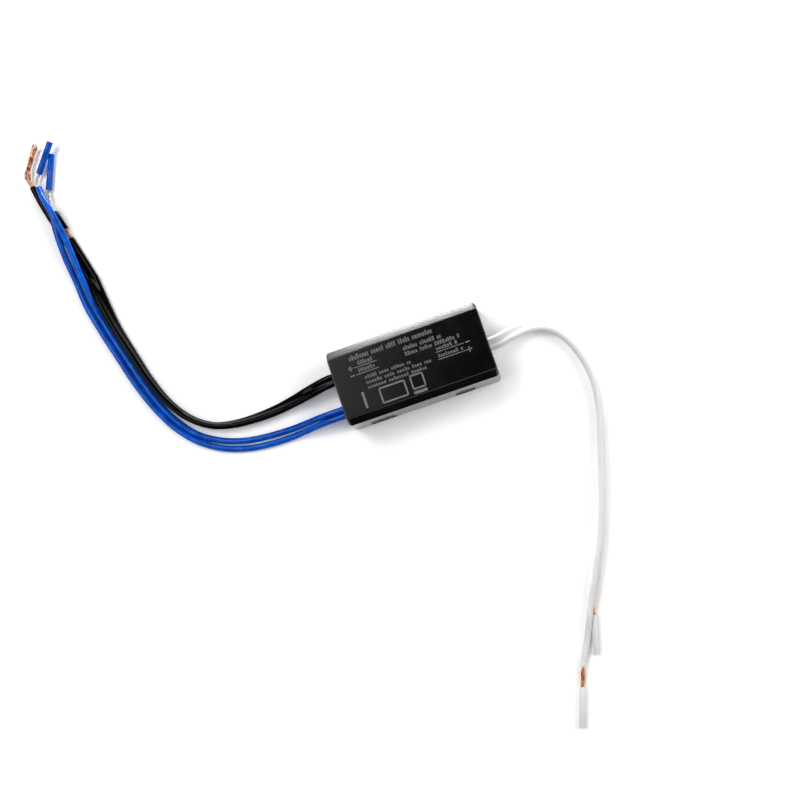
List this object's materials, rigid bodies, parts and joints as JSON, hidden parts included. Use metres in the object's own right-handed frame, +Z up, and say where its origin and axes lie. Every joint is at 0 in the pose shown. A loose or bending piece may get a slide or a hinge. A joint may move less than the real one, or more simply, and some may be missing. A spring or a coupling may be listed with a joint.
{
  "type": "inline lamp dimmer module",
  "caption": "Small drafted black housing, bevelled along both long top edges, round a populated board, with flat and round flying leads whose stripped ends keep their cut sleeves.",
  "frame": {"origin": "middle of the housing's footprint, on the surface that it stands on", "axes": "+X along the housing towards the lamp lead, +Y towards the side nearer the supply lead, +Z up out of the printed face"},
  "size_m": [0.13, 0.1967, 0.015],
  "materials": {
    "housing_black": "fine moulded texture, satin",
    "board_green": "solder-masked glass laminate",
    "can_aluminium": "drawn, semi-gloss",
    "moulded_black": "moulded",
    "ferrite_grey": "sintered, matte",
    "winding_copper": "enamelled wire",
    "tinned_metal": "tinned, slightly dull",
    "fuse_ceramic": "matte",
    "capacitor_ceramic": "matte",
    "bare_copper": "bare stranded copper",
    "black_insulation": "glossy soft PVC",
    "blue_insulation": "glossy soft PVC",
    "white_insulation": "smooth soft PVC"
  },
  "bodies": {
    "root": {"case_cover": "housing_black", "base_plate": "housing_black", "circuit_board": "board_green", "input_capacitor": "can_aluminium", "output_capacitor": "can_aluminium", "capacitor_feet": "moulded_black", "control_chip": "moulded_black", "power_transistor": "moulded_black", "input_diode": "moulded_black", "freewheel_diode": "moulded_black", "sense_resistors": "moulded_black", "chip_resistors": "moulded_black", "inductor_core": "ferrite_grey", "inductor_winding": "winding_copper", "control_chip_pins": "tinned_metal", "power_transistor_pins": "tinned_metal", "diode_terminals": "tinned_metal", "fuse_caps": "tinned_metal", "chip_end_caps": "tinned_metal", "solder_joints": "tinned_metal", "control_tails": "tinned_metal", "control_inner_core": "tinned_metal", "control_outer_core": "tinned_metal", "input_fuse": "fuse_ceramic", "chip_capacitors": "capacitor_ceramic", "supply_tails": "bare_copper", "lamp_tails": "bare_copper", "supply_frayed_core": "bare_copper", "supply_short_core": "bare_copper", "lamp_long_core": "bare_copper", "lamp_short_core": "bare_copper", "supply_lead": "black_insulation", "supply_wire_long": "black_insulation", "supply_wire_short": "black_insulation", "supply_sleeve": "black_insulation", "control_wire_inner": "blue_insulation", "control_wire_outer": "blue_insulation", "control_inner_sleeve": "blue_insulation", "control_outer_sleeve": "blue_insulation", "lamp_lead": "white_insulation", "lamp_wire_long": "white_insulation", "lamp_wire_short": "white_insulation", "lamp_long_sleeve": "white_insulation", "lamp_short_sleeve": "white_insulation"}
  },
  "joints": []
}
